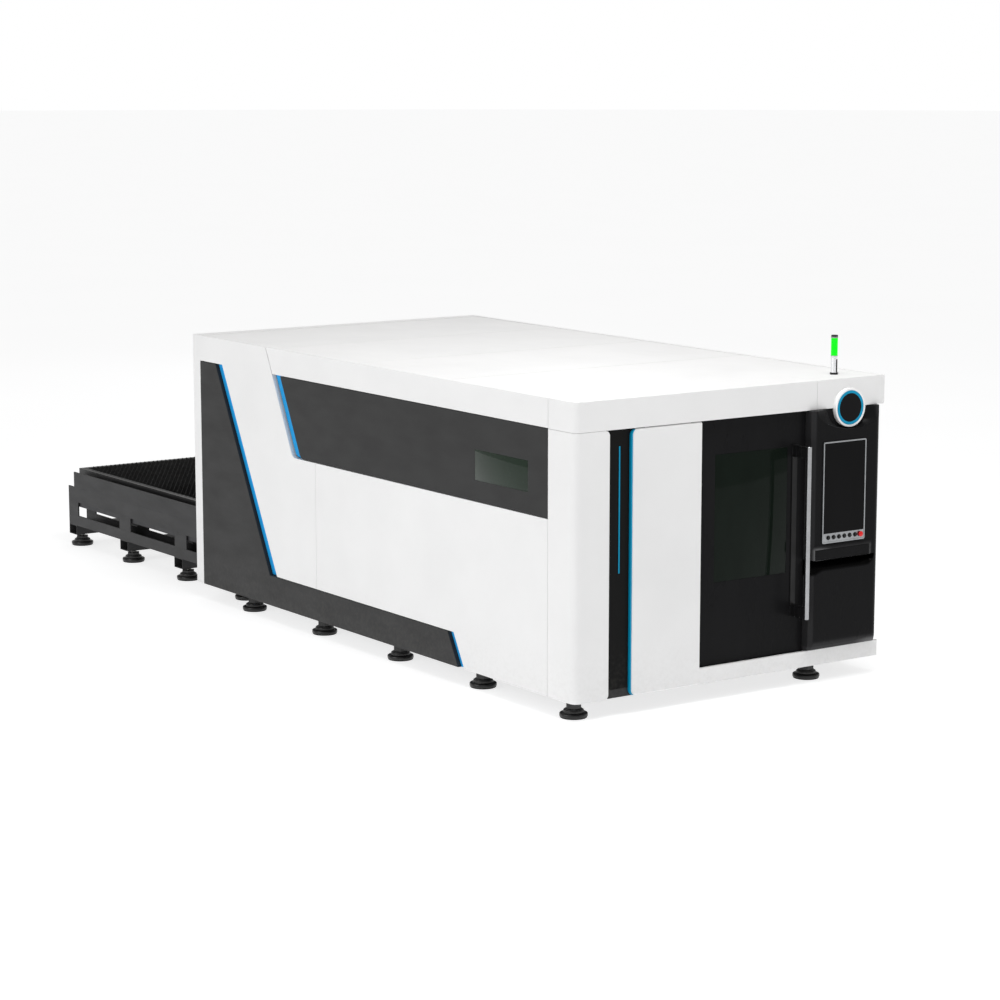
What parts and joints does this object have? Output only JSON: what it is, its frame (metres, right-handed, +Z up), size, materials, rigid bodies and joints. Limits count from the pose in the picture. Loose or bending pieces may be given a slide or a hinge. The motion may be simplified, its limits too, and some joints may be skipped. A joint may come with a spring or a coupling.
{
  "type": "enclosed laser cutting machine",
  "caption": "Fully enclosed sheet-metal laser cutter with a sliding front door, operator console, gantry with cutting head, and a rear exchange table with toothed-slat pallets.",
  "frame": {"origin": "on the floor under the middle of the whole machine", "axes": "+X to the operator's right, +Y from the operator's end to the exchange table, +Z up"},
  "size_m": [2.82, 8.4319, 2.52],
  "materials": {
    "white_paint": "smooth semi-gloss powder coat",
    "dark_grey_paint": "satin powder coat",
    "black_paint": "satin powder coat",
    "blue_light": "translucent light strip cover",
    "black_gloss": "polished moulding",
    "silver": "satin anodised",
    "screen_glass": "black cover glass",
    "green_glass": "dark green laser safety glass",
    "chrome": "polished",
    "red_plastic": "moulded",
    "black_plastic": "fine grained",
    "green_lens": "lit lens",
    "bed_paint": "satin, over welded steel",
    "table_paint": "satin powder coat",
    "bare_steel": "ground rail steel",
    "slat_steel": "heat-darkened mild steel",
    "foot_steel": "black oxide"
  },
  "bodies": {
    "machine": {"bed_frame": "bed_paint", "bed_rails": "bare_steel", "leveling_feet": "foot_steel", "enclosure_frame": "dark_grey_paint", "corner_column": "white_paint", "front_strip": "black_paint", "front_panel": "white_paint", "front_accents": "blue_light", "base_sill": "white_paint", "front_cap": "white_paint", "console_cap": "white_paint", "badge_rim": "white_paint", "badge_face": "black_gloss", "console_body": "black_gloss", "screen_frame": "silver", "touch_screen": "screen_glass", "button_panel": "silver", "door_tracks": "bare_steel", "side_panels_left": "white_paint", "dark_panels": "dark_grey_paint", "side_window": "green_glass", "groove_plates": "black_paint", "accent_strips": "blue_light", "side_panels_right": "white_paint", "roof_panels": "white_paint", "rear_frame": "white_paint", "rear_wall": "dark_grey_paint", "table_side_frames": "table_paint", "table_cross_tubes": "table_paint", "table_rails": "bare_steel", "tower_base": "black_plastic", "tower_body": "silver", "tower_lens": "green_lens"},
    "door": {"door_leaf": "black_gloss", "door_glass": "green_glass", "door_hangers": "bare_steel", "door_handle_mounts": "dark_grey_paint", "door_handle_bar": "chrome"},
    "keyboard_tray": {"keyboard_drawer": "black_gloss", "keyboard": "black_plastic"},
    "stop_button": {"emergency_stop": "red_plastic"},
    "gantry": {"gantry_beam": "white_paint"},
    "carriage": {"cross_carriage": "dark_grey_paint"},
    "head": {"head_slide": "silver", "cutting_head": "silver"},
    "upper_pallet": {"upper_pallet_frame": "table_paint", "upper_pallet_slats": "slat_steel"},
    "lower_pallet": {"lower_pallet_frame": "table_paint", "lower_pallet_slats": "slat_steel"},
    "upper_front_wheels": {"upper_wheel_set_front": "bare_steel"},
    "upper_rear_wheels": {"upper_wheel_set_rear": "bare_steel"},
    "lower_front_wheels": {"lower_wheel_set_front": "bare_steel"},
    "lower_rear_wheels": {"lower_wheel_set_rear": "bare_steel"},
    "button_1": {"control_button_1": "black_plastic"},
    "button_2": {"control_button_2": "black_plastic"},
    "button_3": {"control_button_3": "black_plastic"},
    "button_4": {"control_button_4": "black_plastic"},
    "button_5": {"control_button_5": "black_plastic"},
    "button_6": {"control_button_6": "black_plastic"}
  },
  "joints": [
    {"name": "door_slide", "type": "slide", "parent": "machine", "child": "door", "axis": [-1, 0, 0], "range_m": [0, 0.84]},
    {"name": "keyboard_slide", "type": "slide", "parent": "machine", "child": "keyboard_tray", "axis": [0, -1, 0], "range_m": [0, 0.15]},
    {"name": "stop_press", "type": "slide", "parent": "machine", "child": "stop_button", "axis": [0, 1, 0], "range_m": [0, 0.005]},
    {"name": "gantry_travel", "type": "slide", "parent": "machine", "child": "gantry", "axis": [0, 1, 0], "range_m": [-0.9, 2.3]},
    {"name": "carriage_travel", "type": "slide", "parent": "gantry", "child": "carriage", "axis": [1, 0, 0], "range_m": [-0.76, 0.76]},
    {"name": "head_lift", "type": "slide", "parent": "carriage", "child": "head", "axis": [0, 0, 1], "range_m": [-0.085, 0.12]},
    {"name": "upper_pallet_travel", "type": "slide", "parent": "machine", "child": "upper_pallet", "axis": [0, 1, 0], "range_m": [-4.4, 0]},
    {"name": "lower_pallet_travel", "type": "slide", "parent": "machine", "child": "lower_pallet", "axis": [0, 1, 0], "range_m": [0, 4.4]},
    {"name": "button_1_press", "type": "slide", "parent": "machine", "child": "button_1", "axis": [0, 1, 0], "range_m": [0, 0.003], "stiffness_N_per_m": 500},
    {"name": "button_2_press", "type": "slide", "parent": "machine", "child": "button_2", "axis": [0, 1, 0], "range_m": [0, 0.003], "stiffness_N_per_m": 500},
    {"name": "button_3_press", "type": "slide", "parent": "machine", "child": "button_3", "axis": [0, 1, 0], "range_m": [0, 0.003], "stiffness_N_per_m": 500},
    {"name": "button_4_press", "type": "slide", "parent": "machine", "child": "button_4", "axis": [0, 1, 0], "range_m": [0, 0.003], "stiffness_N_per_m": 500},
    {"name": "button_5_press", "type": "slide", "parent": "machine", "child": "button_5", "axis": [0, 1, 0], "range_m": [0, 0.003], "stiffness_N_per_m": 500},
    {"name": "button_6_press", "type": "slide", "parent": "machine", "child": "button_6", "axis": [0, 1, 0], "range_m": [0, 0.003], "stiffness_N_per_m": 500},
    {"name": "upper_front_wheels_turn", "type": "hinge", "parent": "upper_pallet", "child": "upper_front_wheels", "pos_m": [-0.23, 1.421, 0.625], "axis": [1, 0, 0], "continuous": true},
    {"name": "upper_rear_wheels_turn", "type": "hinge", "parent": "upper_pallet", "child": "upper_rear_wheels", "pos_m": [-0.23, 3.716, 0.625], "axis": [1, 0, 0], "continuous": true},
    {"name": "lower_front_wheels_turn", "type": "hinge", "parent": "lower_pallet", "child": "lower_front_wheels", "pos_m": [-0.23, -2.979, 0.455], "axis": [1, 0, 0], "continuous": true},
    {"name": "lower_rear_wheels_turn", "type": "hinge", "parent": "lower_pallet", "child": "lower_rear_wheels", "pos_m": [-0.23, -0.684, 0.455], "axis": [1, 0, 0], "continuous": true}
  ],
  "couplings": [
    {"joint": "lower_pallet_travel", "follows": "upper_pallet_travel", "ratio": -1},
    {"joint": "upper_front_wheels_turn", "follows": "upper_pallet_travel", "rad_per_m": -28.818},
    {"joint": "upper_rear_wheels_turn", "follows": "upper_pallet_travel", "rad_per_m": -28.818},
    {"joint": "lower_front_wheels_turn", "follows": "upper_pallet_travel", "rad_per_m": 28.818},
    {"joint": "lower_rear_wheels_turn", "follows": "upper_pallet_travel", "rad_per_m": 28.818}
  ]
}
